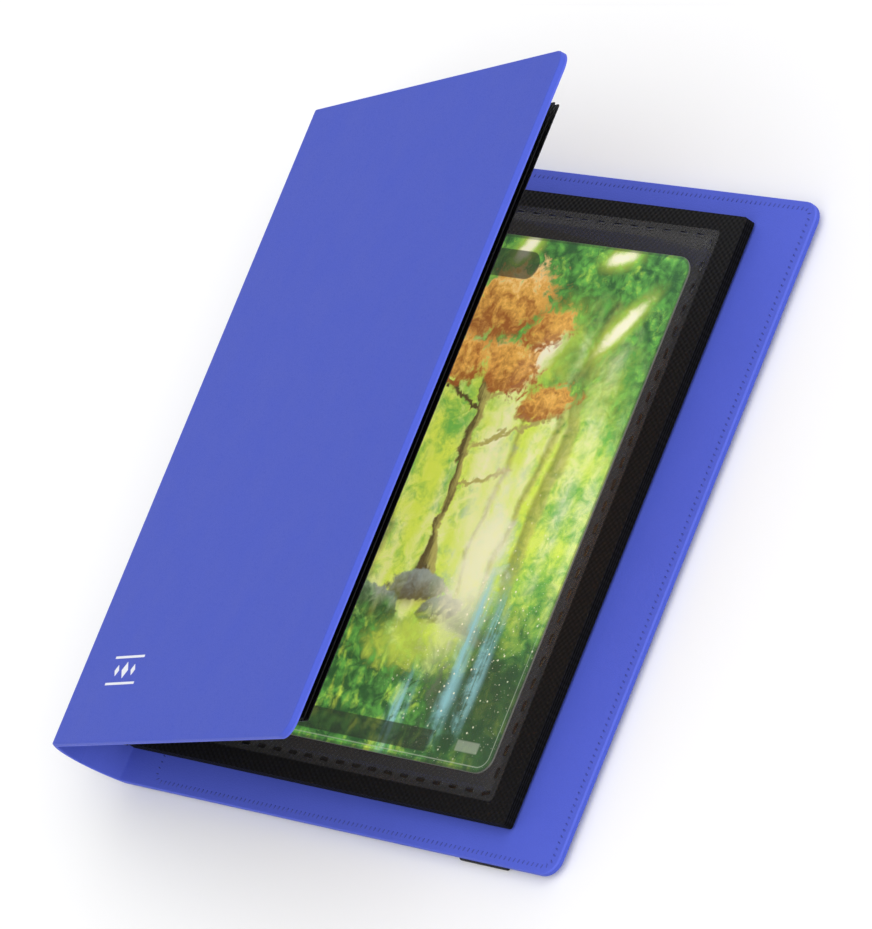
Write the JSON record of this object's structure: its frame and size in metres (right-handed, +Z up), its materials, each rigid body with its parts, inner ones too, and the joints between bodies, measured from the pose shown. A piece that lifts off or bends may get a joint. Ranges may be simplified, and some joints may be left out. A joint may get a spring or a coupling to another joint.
{
  "type": "trading card binder",
  "caption": "Small side-loading card binder: two stiff blue leatherette covers on a soft spine, black pocket pages, two stored cards and an elastic closing strap.",
  "frame": {"origin": "middle of the footprint at rest, on the surface that the binder lies on (the underside of the strap's folds)", "axes": "+X from the spine to the fore edge, +Y from the tail to the head along the spine, +Z up through the covers"},
  "size_m": [0.1064, 0.1136, 0.055],
  "materials": {
    "cover_leatherette": "fine matte leatherette, royal blue",
    "cover_lining": "fine matte leatherette, royal blue",
    "cover_board": "grey board",
    "thread": "polyester sewing thread",
    "elastic": "black woven elastic",
    "page_sheet": "black polypropylene with a fine woven emboss",
    "page_film": "clear glossy pocket film",
    "binding_strip": "flexible black binding compound",
    "card": "printed coated card"
  },
  "bodies": {
    "back_cover": {"back_cover_skin": "cover_leatherette", "back_cover_board": "cover_board", "back_cover_lining": "cover_lining", "back_lining_stitching": "thread", "strap_end_tail": "elastic", "strap_end_head": "elastic"},
    "spine": {"spine_skin": "cover_leatherette", "spine_lining": "cover_lining", "page_binding_strip": "binding_strip"},
    "front_cover": {"front_cover_skin": "cover_leatherette", "front_cover_board": "cover_board", "front_cover_lining": "cover_lining", "front_lining_stitching": "thread"},
    "strap": {"elastic_strap": "elastic"},
    "page_01": {"page_01_sheet": "page_sheet", "page_01_front_film": "page_film", "page_01_back_film": "page_film"},
    "page_02": {"page_02_sheet": "page_sheet", "page_02_front_film": "page_film", "page_02_back_film": "page_film"},
    "page_03": {"page_03_sheet": "page_sheet", "page_03_front_film": "page_film", "page_03_back_film": "page_film"},
    "page_04": {"page_04_sheet": "page_sheet", "page_04_front_film": "page_film", "page_04_back_film": "page_film"},
    "page_05": {"page_05_sheet": "page_sheet", "page_05_front_film": "page_film", "page_05_back_film": "page_film", "right_trading_card": "card"},
    "page_06": {"page_06_sheet": "page_sheet", "page_06_front_film": "page_film", "page_06_back_film": "page_film", "left_trading_card": "card"},
    "page_07": {"page_07_sheet": "page_sheet", "page_07_front_film": "page_film", "page_07_back_film": "page_film"},
    "page_08": {"page_08_sheet": "page_sheet", "page_08_front_film": "page_film", "page_08_back_film": "page_film"},
    "page_09": {"page_09_sheet": "page_sheet", "page_09_front_film": "page_film", "page_09_back_film": "page_film"},
    "page_10": {"page_10_sheet": "page_sheet", "page_10_front_film": "page_film", "page_10_back_film": "page_film"}
  },
  "joints": [
    {"name": "spine_hinge", "type": "hinge", "parent": "back_cover", "child": "spine", "pos_m": [-0.04895, 0, 0.00245], "axis": [0, -1, 0], "range_deg": [-6.25, 83.75]},
    {"name": "front_cover_hinge", "type": "hinge", "parent": "spine", "child": "front_cover", "pos_m": [-0.05043, 0, 0.01597], "axis": [0, -1, 0], "range_deg": [-15.55, 74.45]},
    {"name": "page_01_follow", "type": "hinge", "parent": "spine", "child": "page_01", "pos_m": [-0.04815, 0, 0.00311], "axis": [0, -1, 0], "range_deg": [-83.75, 6.25]},
    {"name": "page_02_lift", "type": "hinge", "parent": "page_01", "child": "page_02", "pos_m": [-0.04815, 0, 0.00357], "axis": [0, -1, 0], "range_deg": [0, 20]},
    {"name": "page_03_lift", "type": "hinge", "parent": "page_02", "child": "page_03", "pos_m": [-0.04815, 0, 0.00402], "axis": [0, -1, 0], "range_deg": [0, 20]},
    {"name": "page_04_lift", "type": "hinge", "parent": "page_03", "child": "page_04", "pos_m": [-0.04815, 0, 0.00447], "axis": [0, -1, 0], "range_deg": [0, 20]},
    {"name": "page_05_lift", "type": "hinge", "parent": "page_04", "child": "page_05", "pos_m": [-0.04815, 0, 0.00493], "axis": [0, -1, 0], "range_deg": [0, 20]},
    {"name": "page_10_follow", "type": "hinge", "parent": "spine", "child": "page_10", "pos_m": [-0.04945, 0, 0.01347], "axis": [0, -1, 0], "range_deg": [-15.55, 74.45]},
    {"name": "page_09_lift", "type": "hinge", "parent": "page_10", "child": "page_09", "pos_m": [-0.04917, 0, 0.01277], "axis": [0, 1, 0], "range_deg": [0, 20]},
    {"name": "page_08_lift", "type": "hinge", "parent": "page_09", "child": "page_08", "pos_m": [-0.04889, 0, 0.01207], "axis": [0, 1, 0], "range_deg": [0, 20]},
    {"name": "page_07_lift", "type": "hinge", "parent": "page_08", "child": "page_07", "pos_m": [-0.04862, 0, 0.01138], "axis": [0, 1, 0], "range_deg": [0, 20]},
    {"name": "page_06_lift", "type": "hinge", "parent": "page_07", "child": "page_06", "pos_m": [-0.04834, 0, 0.01068], "axis": [0, 1, 0], "range_deg": [0, 20]},
    {"name": "strap_stretch", "type": "slide", "parent": "back_cover", "child": "strap", "axis": [1, 0, 0], "range_m": [0, 0.022], "stiffness_N_per_m": 40}
  ],
  "couplings": [
    {"joint": "page_01_follow", "follows": "spine_hinge", "ratio": -1},
    {"joint": "page_10_follow", "follows": "front_cover_hinge", "ratio": 1}
  ]
}
